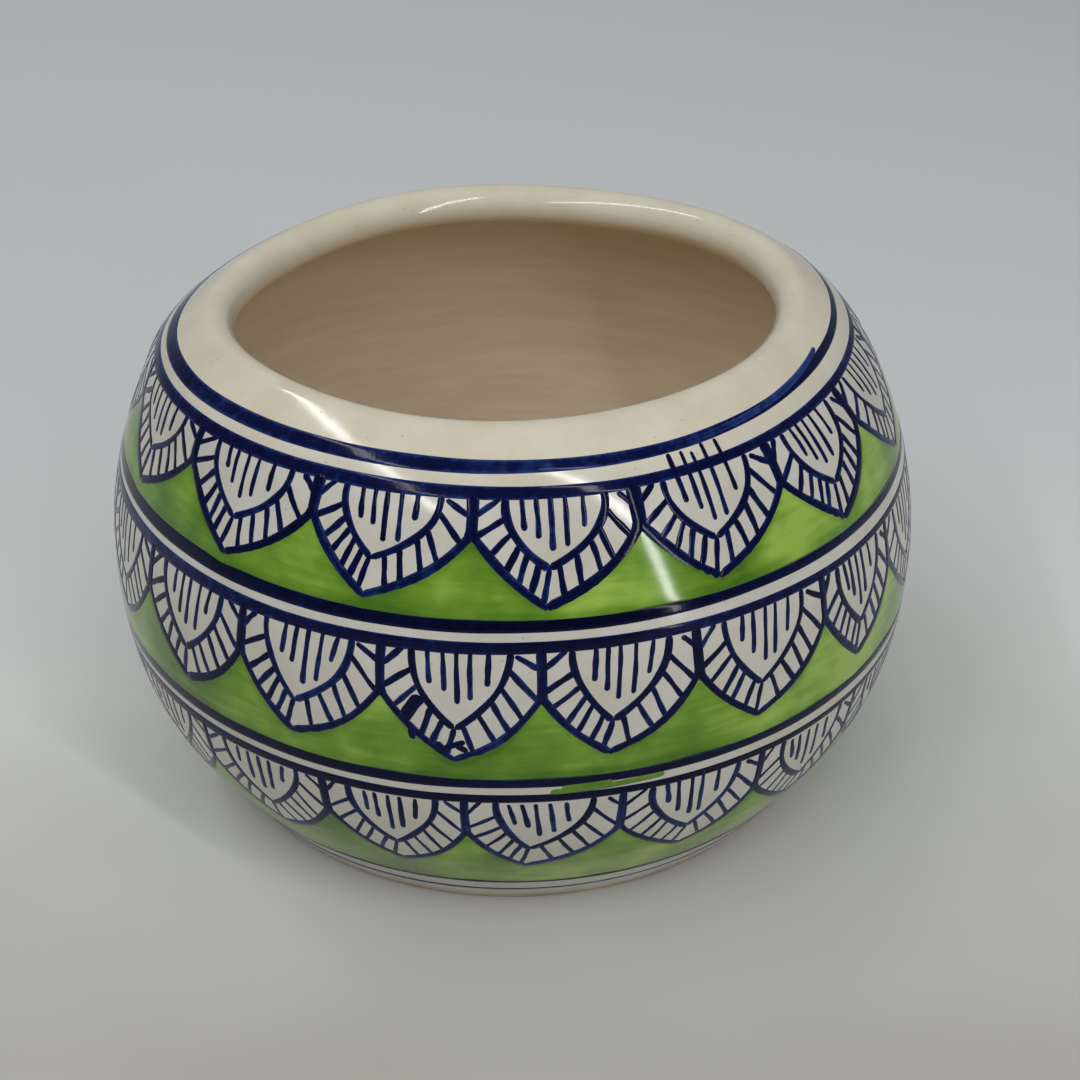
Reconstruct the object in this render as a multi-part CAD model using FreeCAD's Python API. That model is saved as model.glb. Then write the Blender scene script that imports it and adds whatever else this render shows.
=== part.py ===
import FreeCAD
import Part
import math
import os

# Squat round cachepot of glazed earthenware, thrown on a wheel, with painted petal rows and line pairs.
# Lengths are in millimetres. The origin is the middle of the foot, on the surface that the pot stands
# on, and +Z is up. Angle zero of the painted rows looks along -Y, and angles grow towards +X.

# Outside of the fired clay: a straight trimmed taper above the foot, a round of its own into the belly,
# and a tighter shoulder into the rolled lip.
bellyDiameter = 200.0
bellyHeight = 62.0
footDiameter = 149.0
footTaperAngle = 35.0
rimHeight = 125.6
mouthDiameter = 128.4
lipRollRadius = 5.1
# The belly's rounds above and below its widest line are as large as keeps the lip's roll and the foot's
# edge inside them, by these shares of how far each stands in from the belly. Here both are one ball.
lipInsideShare = 0.1645
footInsideShare = 0.1208
# The rounds beside the belly, as shares of its own round
footBlendShare = 0.55
shoulderShare = 0.40
innerShoulderShare = 0.30

# Inside and underneath
wallThickness = 6.5
floorThickness = 9.0
floorRoundRadius = 30.0
footRingWidth = 12.0
footRecessDepth = 2.0

# Painted colour, fired on in low relief
paintThickness = 0.3
lipLineRise = 1.8
shoulderLineRise = 2.4
bellyLineRise = 2.3
footLineRise = 0.8
# Heights of the lines' middles, as shares of the rim's height
lipUpperShare = 0.9646
lipLowerShare = 0.9319
shoulderUpperShare = 0.7289
shoulderLowerShare = 0.6923
bellyUpperShare = 0.4224
bellyLowerShare = 0.3857
footUpperShare = 0.0892
footLowerShare = 0.0502
paintedLines = [("lip_line_upper", lipUpperShare, lipLineRise),
                ("lip_line_lower", lipLowerShare, lipLineRise),
                ("shoulder_line_upper", shoulderUpperShare, shoulderLineRise),
                ("shoulder_line_lower", shoulderLowerShare, shoulderLineRise),
                ("belly_line_upper", bellyUpperShare, bellyLineRise),
                ("belly_line_lower", bellyLowerShare, bellyLineRise),
                ("foot_line_upper", footUpperShare, footLineRise),
                ("foot_line_lower", footLowerShare, footLineRise)]

# Petal rows: petals round the pot, angle of the front petal's tip, and the heights where neighbouring
# petals part and where their tips are, as shares of the rim's height.
upperPetalCount = 15
upperPetalAngle = 5.0
upperPartingShare = 0.868
upperTipShare = 0.760
middlePetalCount = 18
middlePetalAngle = 13.0
middlePartingShare = 0.601
middleTipShare = 0.479
lowerPetalCount = 18
lowerPetalAngle = 4.5
lowerPartingShare = 0.293
lowerTipShare = 0.180
petalRows = [("green_field_upper", "shoulder_line_upper", upperPetalCount, upperPetalAngle,
              upperPartingShare, upperTipShare),
             ("green_field_middle", "belly_line_upper", middlePetalCount, middlePetalAngle,
              middlePartingShare, middleTipShare),
             ("green_field_lower", "foot_line_upper", lowerPetalCount, lowerPetalAngle,
              lowerPartingShare, lowerTipShare)]
# Middle of a petal's side: share of its half width out, share of the way down to its tip.
petalBulgeShare = (0.58, 0.56)
# Neighbouring petals overlap by this share of their half width, so that they part at a clean corner.
petalOverlapShare = 0.03

origin = FreeCAD.Vector(0, 0, 0)
upward = FreeCAD.Vector(0, 0, 1)
bellyRadius = bellyDiameter / 2
footRadius = footDiameter / 2


def sectionPoint(radius, height):
    return FreeCAD.Vector(radius, 0, height)


def bellyRoundCentre(corner, cornerRadius, insideShare):
    # Centre of the round that touches the belly's widest line and holds this round corner inside it. The
    # distance from the axis is kept to a tenth, so that a ball stays a ball.
    reach = bellyRadius - corner.x
    rise = corner.z - bellyHeight
    depth = cornerRadius + (reach - cornerRadius) * insideShare
    radius = (reach ** 2 + rise ** 2 - depth ** 2) / (2 * (reach - depth))
    return sectionPoint(round(bellyRadius - radius, 1), bellyHeight)


lipCentre = sectionPoint(mouthDiameter / 2 + lipRollRadius, rimHeight - lipRollRadius)
upperCentre = bellyRoundCentre(lipCentre, lipRollRadius, lipInsideShare)
lowerCentre = bellyRoundCentre(sectionPoint(footRadius, 0), 0, footInsideShare)
upperRadius = bellyRadius - upperCentre.x
lowerRadius = bellyRadius - lowerCentre.x
innerUpperRadius = upperRadius - wallThickness
innerLowerRadius = lowerRadius - wallThickness
shoulderRadius = upperRadius * shoulderShare
innerShoulderRadius = upperRadius * innerShoulderShare
footBlendRadius = lowerRadius * footBlendShare


def lowerMeeting(first, firstDistance, second, secondDistance):
    # The point at these distances from both centres, on the lower side of the line that joins them.
    between = second.sub(first)
    along = (between.Length ** 2 + firstDistance ** 2 - secondDistance ** 2) / (2 * between.Length)
    across = math.sqrt(firstDistance ** 2 - along ** 2)
    forward = FreeCAD.Vector(between).normalize()
    downward = sectionPoint(forward.z, -forward.x)
    return first.add(forward * along).add(downward * across)


def towards(start, end):
    return end.sub(start).normalize()


def roundEdge(centre, radius, startDirection, endDirection):
    # An arc between two directions seen from its centre, by the short way round.
    middle = startDirection.add(endDirection).normalize()
    arc = Part.Arc(centre.add(startDirection * radius), centre.add(middle * radius),
                   centre.add(endDirection * radius))
    return arc.toShape()


# Centres of the other rounds, each tangent to both of its neighbours
shoulderCentre = lowerMeeting(upperCentre, upperRadius - shoulderRadius,
                              lipCentre, shoulderRadius - lipRollRadius)
innerShoulderCentre = lowerMeeting(upperCentre, innerUpperRadius - innerShoulderRadius,
                                   lipCentre, innerShoulderRadius + lipRollRadius)
floorRoundHeight = floorThickness + floorRoundRadius
floorRoundReach = lowerCentre.x + math.sqrt((innerLowerRadius - floorRoundRadius) ** 2
                                            - (bellyHeight - floorRoundHeight) ** 2)
floorRoundCentre = sectionPoint(floorRoundReach, floorRoundHeight)
taperNormal = sectionPoint(math.cos(math.radians(footTaperAngle)), -math.sin(math.radians(footTaperAngle)))
taperUp = sectionPoint(-taperNormal.z, taperNormal.x)
blendFoot = sectionPoint(footRadius, 0).sub(taperNormal * footBlendRadius)
blendOffset = blendFoot.sub(lowerCentre)
blendLift = -blendOffset.dot(taperUp)
blendReach = (lowerRadius - footBlendRadius) ** 2 - blendOffset.dot(blendOffset)
footBlendCentre = blendFoot.add(taperUp * (blendLift + math.sqrt(blendLift ** 2 + blendReach)))
outward = sectionPoint(1, 0)


def outerWallEdges(offset):
    # The outer wall's section from the foot up to the lip's roll, set off outward by a distance.
    bellyToBlend = towards(lowerCentre, footBlendCentre)
    bellyToShoulder = towards(upperCentre, shoulderCentre)
    shoulderToLip = towards(shoulderCentre, lipCentre)
    taperBottom = sectionPoint(footRadius, 0).add(taperNormal * offset)
    taperTop = footBlendCentre.add(taperNormal * (footBlendRadius + offset))
    return [Part.makeLine(taperBottom, taperTop),
            roundEdge(footBlendCentre, footBlendRadius + offset, taperNormal, bellyToBlend),
            roundEdge(lowerCentre, lowerRadius + offset, bellyToBlend, outward),
            roundEdge(upperCentre, upperRadius + offset, outward, bellyToShoulder),
            roundEdge(shoulderCentre, shoulderRadius + offset, bellyToShoulder, shoulderToLip)]


def revolveSection(edges):
    return Part.Face(Part.Wire(edges)).revolve(origin, upward, 360)


def makeClayBody():
    # One turned section: outer wall, rolled lip, inner wall, floor, foot recess and foot ring.
    crest = FreeCAD.Vector(upward)
    mouthward = sectionPoint(-1, 0)
    underLip = towards(lipCentre, innerShoulderCentre)
    lip = [roundEdge(lipCentre, lipRollRadius, towards(shoulderCentre, lipCentre), crest),
           roundEdge(lipCentre, lipRollRadius, crest, mouthward),
           roundEdge(lipCentre, lipRollRadius, mouthward, underLip)]
    bellyToShoulder = towards(upperCentre, innerShoulderCentre)
    bellyToFloor = towards(lowerCentre, floorRoundCentre)
    inside = [roundEdge(innerShoulderCentre, innerShoulderRadius, underLip * -1, bellyToShoulder),
              roundEdge(upperCentre, innerUpperRadius, bellyToShoulder, outward),
              roundEdge(lowerCentre, innerLowerRadius, outward, bellyToFloor),
              roundEdge(floorRoundCentre, floorRoundRadius, bellyToFloor, upward * -1)]
    footInner = sectionPoint(footRadius - footRingWidth, 0)
    corners = [sectionPoint(floorRoundReach, floorThickness), sectionPoint(0, floorThickness),
               sectionPoint(0, footRecessDepth), footInner.add(upward * footRecessDepth),
               footInner, sectionPoint(footRadius, 0)]
    underneath = [Part.makeLine(start, end) for start, end in zip(corners, corners[1:])]
    return revolveSection(outerWallEdges(0) + lip + inside + underneath)


def makePaintCoat():
    # A skin of paint over the whole outer wall, from which the painted shapes are cut.
    wall = outerWallEdges(0)
    skin = outerWallEdges(paintThickness)
    ends = [Part.makeLine(wall[0].firstVertex().Point, skin[0].firstVertex().Point),
            Part.makeLine(wall[-1].lastVertex().Point, skin[-1].lastVertex().Point)]
    return revolveSection(Part.sortEdges(wall + skin + ends)[0])


def makeSlab(bottom, top):
    # All that lies between two heights.
    return Part.makeCylinder(bellyDiameter, top - bottom, sectionPoint(0, bottom))


def makePetal(halfWidth, partingHeight, tipHeight):
    # A pointed petal hanging from above, as a block that reaches from the axis through the wall.
    depth = partingHeight - tipHeight
    bulge = sectionPoint(halfWidth * petalBulgeShare[0], partingHeight - depth * petalBulgeShare[1])
    mirrored = sectionPoint(-bulge.x, bulge.z)
    tip = sectionPoint(0, tipHeight)
    right = sectionPoint(halfWidth, partingHeight)
    left = sectionPoint(-halfWidth, partingHeight)
    topRight = sectionPoint(halfWidth, rimHeight)
    topLeft = sectionPoint(-halfWidth, rimHeight)
    edges = [Part.Arc(right, bulge, tip).toShape(),
             Part.Arc(tip, mirrored, left).toShape(),
             Part.makeLine(left, topLeft),
             Part.makeLine(topLeft, topRight),
             Part.makeLine(topRight, right)]
    return Part.Face(Part.Wire(edges)).extrude(FreeCAD.Vector(0, -bellyDiameter, 0))


def makeGreenField(coat, lineTop, count, tipAngle, partingHeight, tipHeight):
    # The green ground between a row of petals and the line under it.
    field = coat.common(makeSlab(lineTop, partingHeight))
    partingRadius = max(field.Vertexes, key=lambda vertex: vertex.Z).X
    halfWidth = partingRadius * math.sin(math.pi / count) * (1 + petalOverlapShare)
    petals = []
    for index in range(count):
        petal = makePetal(halfWidth, partingHeight, tipHeight)
        petal.rotate(origin, upward, tipAngle + 360 / count * index)
        petals.append(petal)
    return field.cut(petals)


os.makedirs("parts", exist_ok=True)
coat = makePaintCoat()
parts = {"clay_body": makeClayBody()}
lineTops = {}
for name, heightShare, rise in paintedLines:
    lineTops[name] = rimHeight * heightShare + rise / 2
    parts[name] = coat.common(makeSlab(lineTops[name] - rise, lineTops[name]))
for name, lineBelow, count, tipAngle, partingShare, tipShare in petalRows:
    parts[name] = makeGreenField(coat, lineTops[lineBelow], count, tipAngle,
                                 rimHeight * partingShare, rimHeight * tipShare)
for name, shape in parts.items():
    shape.exportStep(f"parts/{name}.step")
    print(name, shape.isValid(), len(shape.Solids), round(shape.Volume, 1))
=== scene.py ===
import bpy
import numpy as np
from mathutils import Matrix


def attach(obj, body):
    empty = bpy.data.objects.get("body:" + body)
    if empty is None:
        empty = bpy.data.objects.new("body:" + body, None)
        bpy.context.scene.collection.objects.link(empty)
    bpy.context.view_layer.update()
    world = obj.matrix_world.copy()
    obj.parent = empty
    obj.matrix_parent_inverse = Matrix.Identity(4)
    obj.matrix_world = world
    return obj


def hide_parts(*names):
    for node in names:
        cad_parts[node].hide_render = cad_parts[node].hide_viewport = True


# A thrown and hand-painted cachepot. Lengths are in millimetres until a mesh is made. Angles round the pot
# are in degrees from its front, which looks along -Y, and grow towards +X. Heights are above the table.
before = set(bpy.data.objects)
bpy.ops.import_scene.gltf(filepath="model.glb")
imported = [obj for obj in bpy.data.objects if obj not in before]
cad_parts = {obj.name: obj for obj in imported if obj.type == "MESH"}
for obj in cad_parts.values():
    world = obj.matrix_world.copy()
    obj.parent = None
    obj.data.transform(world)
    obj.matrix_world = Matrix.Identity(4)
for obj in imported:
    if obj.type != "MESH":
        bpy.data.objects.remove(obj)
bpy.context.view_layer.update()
chance = np.random.default_rng(11)
fullTurn = 6.28  # radians, for chance phases
mm = 0.001


# Shared helpers

def toLinear(hexColour, alpha=1.0):
    # sRGB to linear light: ((c + 0.055) / 1.055)^2.4 above 0.04045, c / 12.92 below
    c = np.array([int(hexColour[i:i + 2], 16) for i in (0, 2, 4)]) / 255
    return (*np.where(c > 0.04045, ((c + 0.055) / 1.055) ** 2.4, c / 12.92), alpha)


def addNode(tree, kind, inputs=None, stops=None, **settings):
    # one node with its properties, then its sockets: a value is set and another node's output is linked
    node = tree.nodes.new("ShaderNode" + kind)
    for name, value in settings.items():
        setattr(node, name, value)
    if stops:  # colour ramp: (position, hex) pairs
        while len(node.color_ramp.elements) < len(stops):
            node.color_ramp.elements.new(1)
        for element, (position, colour) in zip(node.color_ramp.elements, stops):
            element.position = position
            element.color = toLinear(colour)
    for key, value in (inputs or {}).items():
        if isinstance(value, bpy.types.NodeSocket):
            tree.links.new(value, node.inputs[key])
        else:
            node.inputs[key].default_value = value
    return node.outputs


def multiplyAdd(tree, a, b, c):
    return addNode(tree, "Math", {0: a, 1: b, 2: c}, operation="MULTIPLY_ADD")["Value"]


def noise(tree, vector, size, detail, roughness=0.5, distortion=0.0):
    # smooth noise with a coarsest grain of a size in millimetres
    return addNode(tree, "TexNoise", {"Vector": vector, "Scale": 1000 / size, "Detail": detail,
                                      "Roughness": roughness, "Distortion": distortion})["Fac"]


def ramp(tree, value, stops):
    return addNode(tree, "ValToRGB", {"Fac": value}, stops=stops)["Color"]


def mapRange(tree, value, low, high, most=1.0):
    # 0 up to the low value, the most from the high one on
    return addNode(tree, "MapRange", {"Value": value, "From Min": low, "From Max": high,
                                      "To Max": most})["Result"]


def newMaterial(name):
    # a material with no nodes but the one that gives the place on the pot or paper
    material = bpy.data.materials.new(name)
    material.use_nodes = True
    tree = material.node_tree
    tree.nodes.clear()
    return material, tree, addNode(tree, "TexCoord")["Object"]


def smoothStep(x):
    # 3x² − 2x³ between 0 and 1
    x = np.clip(x, 0, 1)
    return x * x * (3 - 2 * x)


def gridFaces(rows, columns, closeRows=False, closeColumns=True):
    # quads of a grid of points, row after row; a closed way has its last points joined to its first
    k = np.arange(rows if closeRows else rows - 1)[:, None]
    c = np.arange(columns if closeColumns else columns - 1)[None, :]
    nextK, nextC = (k + 1) % rows, (c + 1) % columns
    corners = [k * columns + c, k * columns + nextC, nextK * columns + nextC, nextK * columns + c]
    return np.stack(np.broadcast_arrays(*corners), axis=-1).reshape(-1, 4)


def meshObject(name, points, faces, material):
    # points in millimetres and lists of corner numbers become one smooth mesh
    mesh = bpy.data.meshes.new(name)
    mesh.from_pydata((points.reshape(-1, 3) * mm).tolist(), [], faces)
    mesh.shade_smooth()
    mesh.materials.append(material)
    thing = bpy.data.objects.new(name, mesh)
    bpy.context.scene.collection.objects.link(thing)
    return thing


def makePiece(name, points, faces, slot, attributes, stands=()):
    # a mesh with its slot's material and its attributes, in place of the nodes that it stands for
    piece = meshObject(name, points, faces, materials[slot])
    for attributeName, values in attributes.items():
        attribute = piece.data.attributes.new(attributeName, "FLOAT", "POINT")
        attribute.data.foreach_set("value", np.ravel(values))
    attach(piece, "root")
    if stands:
        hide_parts(*stands)
    print("piece", name, len(piece.data.polygons), "faces")


# The thrown shape

pot = {
    "bellyRadius": 100.0, "bellyHeight": 62.0, "footRadius": 74.5, "footTaper": 35.0, "footBlend": 55.0,
    "shoulder": 40.0, "rimHeight": 125.6, "mouthRadius": 64.2, "lipRoll": 5.1, "wall": 6.5,
    "innerShoulder": 30.0, "floorTop": 9.0, "floorRound": 30.0, "footRing": 12.0, "footRecess": 2.0,
    "footSoftness": 1.1, "ringSoftness": 0.88,
    # points along each stretch of the section, round the pot, and in the table of its outer wall
    "baseSteps": 8, "cornerSteps": 7, "wallSteps": (13, 16, 42, 30), "lipSteps": (5, 10, 9),
    "innerSteps": (18, 34, 18), "floorSteps": 12, "anglesRound": 432, "tableSteps": (200, 200, 500, 400),
    # the lip was pulled by hand: waves per turn, then steady part, cosines and sines of its rise and reach
    "lipWaves": (1, 2, 4), "lipRise": (0.3, (0.2, 0.1, -0.1), (-0.8, 0.5, 0.4)),
    "lipReach": (-0.2, (-1.1, 0.6, 0.4), (-0.8, 0.6, 0.5)), "lipWavesFrom": 104.0, "lipWavesWhole": 121.0,
    # the wall's slow wander: size, two lengths up the pot, radius and height at which it is whole
    "wander": 0.15, "wanderLengths": (31.0, 17.0), "wanderRadius": 50.0, "wanderHeight": 20.0,
}


def lowerMeeting(first, firstReach, second, secondReach):
    # circles meet at along = (gap² + a² − b²) / 2·gap on the line of centres, √(a² − along²) to its right
    gap = abs(second - first)
    along = (gap ** 2 + firstReach ** 2 - secondReach ** 2) / (2 * gap)
    return first + (second - first) / gap * (along - 1j * np.sqrt(firstReach ** 2 - along ** 2))


def roundPoints(centre, radius, start, end, count):
    # centre + radius · e^(i·angle), with the angle going the short way from one direction to the other
    turn = np.angle(end / start)
    return centre + radius * start / abs(start) * np.exp(1j * turn * np.linspace(0, 1, count))


def softCorner(before, corner, after, reach):
    # (1 − t)²·a + 2t(1 − t)·corner + t²·b, from a point before the corner to one after it
    a = corner + (before - corner) / abs(before - corner) * reach
    b = corner + (after - corner) / abs(after - corner) * reach
    t = np.linspace(0, 1, pot["cornerSteps"])
    return (1 - t) ** 2 * a + 2 * t * (1 - t) * corner + t ** 2 * b


# The section is drawn with complex numbers: the real part is the radius, the imaginary part the height.
belly = 1j * pot["bellyHeight"]
lip = pot["mouthRadius"] + pot["lipRoll"] + 1j * (pot["rimHeight"] - pot["lipRoll"])
shoulder = lowerMeeting(belly, pot["bellyRadius"] - pot["shoulder"], lip, pot["shoulder"] - pot["lipRoll"])
innerBelly = pot["bellyRadius"] - pot["wall"]
innerShoulder = lowerMeeting(belly, innerBelly - pot["innerShoulder"],
                             lip, pot["innerShoulder"] + pot["lipRoll"])
floorRoundHeight = pot["floorTop"] + pot["floorRound"]
floorRoundDrop = pot["bellyHeight"] - floorRoundHeight
floorRoundReach = np.sqrt((innerBelly - pot["floorRound"]) ** 2 - floorRoundDrop ** 2)
floorRound = floorRoundReach + 1j * floorRoundHeight
taperOut = np.exp(-1j * np.radians(pot["footTaper"]))
taperUp = 1j * taperOut
blendStart = pot["footRadius"] - taperOut * pot["footBlend"] - belly
blendLift = -(blendStart * np.conj(taperUp)).real
blendReach = (pot["bellyRadius"] - pot["footBlend"]) ** 2 - abs(blendStart) ** 2
footBlend = belly + blendStart + taperUp * (blendLift + np.sqrt(blendLift ** 2 + blendReach))
taperTop = footBlend + taperOut * pot["footBlend"]


def outerWall(taperCount, blendCount, bellyCount, shoulderCount):
    # straight taper, blend round, ball of the belly, shoulder, each tangent to the next
    return np.concatenate([
        np.linspace(pot["footRadius"] + 0j, taperTop, taperCount)[:-1],
        roundPoints(footBlend, pot["footBlend"], taperOut, footBlend - belly, blendCount)[:-1],
        roundPoints(belly, pot["bellyRadius"], footBlend - belly, shoulder - belly, bellyCount)[:-1],
        roundPoints(shoulder, pot["shoulder"], shoulder - belly, lip - shoulder, shoulderCount)])


# a close table of the outer wall: point, distance up from the foot's edge and normal
wallTable = outerWall(*pot["tableSteps"])
wallAlong = np.concatenate([[0], np.cumsum(abs(np.diff(wallTable)))])
wallNormal = np.gradient(wallTable) * -1j
wallNormal = wallNormal / abs(wallNormal)


def alongAt(height):
    # distance up the outer wall from the foot's edge, for a height
    return np.interp(height, wallTable.imag, wallAlong)


def radiusAt(height):
    return np.interp(alongAt(height), wallAlong, wallTable).real


def turned(angle, section):
    # (r·sin, −r·cos, height) of a point of the section at an angle round the pot
    turn = np.radians(angle)
    r, z = np.broadcast_arrays(section.real, section.imag)
    return np.stack(np.broadcast_arrays(r * np.sin(turn), -r * np.cos(turn), z), axis=-1)


def lipShare(height):
    # how much of the lip's waves a height has: none at the shoulder, all at the lip
    return smoothStep((height - pot["lipWavesFrom"]) / (pot["lipWavesWhole"] - pot["lipWavesFrom"]))


def lipWave(kind, angle):
    # steady part + Σ a·cos(n·φ) + b·sin(n·φ), φ counted from +X
    steady, cosines, sines = pot[kind]
    phi = np.radians(angle - 90)
    terms = zip(pot["lipWaves"], cosines, sines)
    return sum(a * np.cos(n * phi) + b * np.sin(n * phi) for n, a, b in terms) + steady


def byHand(points):
    # point + lipShare(height) · (reach outwards, rise upwards) + the slow wander of the wall, which is
    # size · sin(2φ + z / first length) · sin(3φ − z / second length + 1)
    x, y, z = np.moveaxis(points, -1, 0)
    r = np.hypot(x, y)
    angle = np.degrees(np.arctan2(x, -y))
    phi = np.radians(angle)
    firstLength, secondLength = pot["wanderLengths"]
    whole = smoothStep(r / pot["wanderRadius"]) * smoothStep(z / pot["wanderHeight"])
    wander = pot["wander"] * np.sin(2 * phi + z / firstLength) * np.sin(3 * phi - z / secondLength + 1)
    share = lipShare(z)
    stretch = 1 + (share * lipWave("lipReach", angle) + wander * whole) / np.maximum(r, 1)
    return np.stack([x * stretch, y * stretch, z + share * lipWave("lipRise", angle)], axis=-1)


def onWall(angle, along, lift):
    # outer wall at that distance, plus lift · outward normal, turned to the angle and given the hand's
    # waves; the lip's rise is taken off first, so that a painted line keeps its height where the lip waves
    level = np.interp(along, wallAlong, wallTable).imag
    lowered = alongAt(level - lipShare(level) * lipWave("lipRise", angle))
    raised = np.interp(lowered, wallAlong, wallTable) + lift * np.interp(along, wallAlong, wallNormal)
    return byHand(turned(angle, raised))


# Materials

def glassySkin(tree, colour, rough, relief, finish):
    # the gloss over a colour and a bump, with the values of its finish
    bump = addNode(tree, "Bump", {"Height": relief, "Strength": finish["bumpStrength"],
                                  "Distance": finish["bumpDepth"] * mm})["Normal"]
    shader = addNode(tree, "BsdfPrincipled", {"Base Color": colour, "Roughness": rough,
                                              "IOR": finish["ior"], "Normal": bump,
                                              "Specular IOR Level": finish["specular"]})["BSDF"]
    addNode(tree, "OutputMaterial", {"Surface": shader})


glaze = {
    # colour ramps over the mottle: outside, on the lip (warmer glaze, lighter as painted light), and bare
    # clay; over the throwing lines: inside
    "creamTones": [(0.3, "B9B4A8"), (0.62, "C2C0B8")], "lipWarmAndLitTones": [(0.3, "C3BBA6"), (0.62, "CBC5B3")],
    "bareTones": [(0.35, "AB927A"), (0.65, "C4AC94")], "insideTones": [(0.25, "CEBDA3"), (0.7, "D9CBB3")],
    # the olive inside tone is painted shade under the lip; the speck is the colour of the iron specks
    "insideShadeTone": "D2C09B", "speck": "7A6A50",
    # the lip's cream starts at this height and is full at the next
    "lipStart": 116.0, "lipFull": 121.5,
    "mottleSize": 14.0, "throwingSpacing": 3.2, "throwingSqueeze": 0.12, "rippleSize": 5.0,
    # one cell in three or four holds a speck, up to this share of the cell's size
    "speckCell": 1.5, "speckFrom": 0.7, "speckReach": 0.26, "speckEdge": 0.2, "speckStrength": 0.5,
    "roughness": 0.09, "rippleRoughness": 0.06, "insideRoughness": 0.22, "bareRoughness": 0.6,
    "ridgeShare": 0.5, "bumpStrength": 0.35, "bumpDepth": 0.1, "ior": 1.5, "specular": 0.5,
}


def glazedEarthenware():
    # Earthenware under a cream tin glaze, buff clear glaze inside, bare biscuit at the foot. The eye sees
    # a soft white skin with fine iron specks, slow mottling, a glassy gloss that wavers, and thinner
    # brown glaze inside where the throwing lines show.
    # painted light and shade: a lighter cream on the lip, and an olive painted shade inside under the lip
    material, tree, place = newMaterial("creamTinGlazeOnThrownEarthenware")
    inside, bare, shadeUnderLip = [addNode(tree, "Attribute", attribute_name=name)["Fac"]
                          for name in ("inside", "bare", "shadeUnderLip")]
    mottle = noise(tree, place, glaze["mottleSize"], 4.0, 0.6)
    cream, lipCreamAndLight, biscuit = [ramp(tree, mottle, glaze[tones])
                                for tones in ("creamTones", "lipWarmAndLitTones", "bareTones")]
    # the glaze lies thicker and warmer on the lip, and its lighter cream there is painted light on the
    # pot's top
    level = addNode(tree, "SeparateXYZ", {"Vector": place})["Z"]
    onLip = mapRange(tree, level, glaze["lipStart"] * mm, glaze["lipFull"] * mm)
    # iron specks: real ones are 0.1 to 0.2 mm, drawn at about 0.4 mm so that they show
    cells = addNode(tree, "TexVoronoi", {"Vector": place, "Scale": 1000 / glaze["speckCell"]})
    cellChance = addNode(tree, "SeparateColor", {"Color": cells["Color"]})["Red"]
    reach = mapRange(tree, cellChance, glaze["speckFrom"], 1.0, glaze["speckReach"])
    speck = addNode(tree, "Math", {0: reach, 1: cells["Distance"]}, operation="SUBTRACT")["Value"]
    speck = mapRange(tree, speck, 0.0, glaze["speckEdge"], glaze["speckStrength"])
    # throwing lines: noise squeezed to thin level bands, from the fingers' ridges about 3 mm apart
    flat = (glaze["throwingSqueeze"], glaze["throwingSqueeze"], 1.0)
    squeezed = addNode(tree, "Mapping", {"Vector": place, "Scale": flat})["Vector"]
    bands = noise(tree, squeezed, glaze["throwingSpacing"], 3.0, 0.55)
    buff = ramp(tree, bands, glaze["insideTones"])
    # painted shade: under the overhanging lip the buff is mixed toward an olive tone
    shadeTone, brown = toLinear(glaze["insideShadeTone"]), toLinear(glaze["speck"])
    buff = addNode(tree, "Mix", {"Factor": shadeUnderLip, "A": buff, "B": shadeTone}, data_type="RGBA")[2]
    colour = cream
    for where, other in ((onLip, lipCreamAndLight), (speck, brown), (inside, buff), (bare, biscuit)):
        colour = addNode(tree, "Mix", {"Factor": where, "A": colour, "B": other}, data_type="RGBA")[2]
    # rough where the gloss ripples, rougher inside, dull where bare
    ripple = noise(tree, place, glaze["rippleSize"], 2.0)
    rough = glaze["roughness"]
    for where, more in ((ripple, "rippleRoughness"), (inside, "insideRoughness"), (bare, "bareRoughness")):
        rough = multiplyAdd(tree, where, glaze[more], rough)
    ridges = addNode(tree, "Math", {0: bands, 1: inside}, operation="MULTIPLY")["Value"]
    relief = multiplyAdd(tree, ridges, glaze["ridgeShare"], ripple)
    glassySkin(tree, colour, rough, relief, glaze)
    return material


cobalt = {
    "tones": [(0.0, "24407E"), (0.55, "070E3A"), (1.0, "01041E")], "clotSize": 2.4, "clotStrength": 0.9,
    "roughness": 0.1, "ior": 1.3, "specular": 0.32, "bumpStrength": 0.3, "bumpDepth": 0.08,
}


def cobaltUnderGlaze():
    # Cobalt oxide brushed on and covered by clear glaze: near black where the brush left it thick, blue at
    # the thin edges of a stroke, with slow clots along it.
    material, tree, place = newMaterial("cobaltBrushworkUnderClearGlaze")
    ink = addNode(tree, "Attribute", attribute_name="ink")["Fac"]
    clots = noise(tree, place, cobalt["clotSize"], 3.0, 0.6)
    load = multiplyAdd(tree, clots, cobalt["clotStrength"], -cobalt["clotStrength"] / 2)
    load = addNode(tree, "Math", {0: ink, 1: load}, operation="ADD")["Value"]
    colour = ramp(tree, load, cobalt["tones"])
    glassySkin(tree, colour, cobalt["roughness"], clots, cobalt)
    return material


wash = {
    "tones": [(0.58, "416A12"), (0.79, "668C27"), (0.98, "91B04A")],
    "streakHeight": 2.6, "streakLength": 22.0, "poolSize": 22.0, "streakShare": 0.3, "edgeShare": 0.16,
    "roughness": 0.1, "ior": 1.45, "specular": 0.5, "bumpStrength": 0.25, "bumpDepth": 0.06,
    # the sheet: places round the pot, relief, how deep its back lies in the wall, width of its darker edge,
    # how much more of the paler tone lies round the right, and how far it reaches up a stem
    "anglesRound": 720, "relief": 0.06, "sunk": 0.12, "edgeWidth": 3.0, "fuller": 0.45, "upStem": 0.3,
    # shares of the way down: at either edge, with their lift, then first, last and number in front and back
    "edgeDown": [0, 0.05], "edgeLift": [1 / 3, 5 / 6], "front": (0.12, 0.88, 11), "back": (0.9, 0.1, 5),
}


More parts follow.
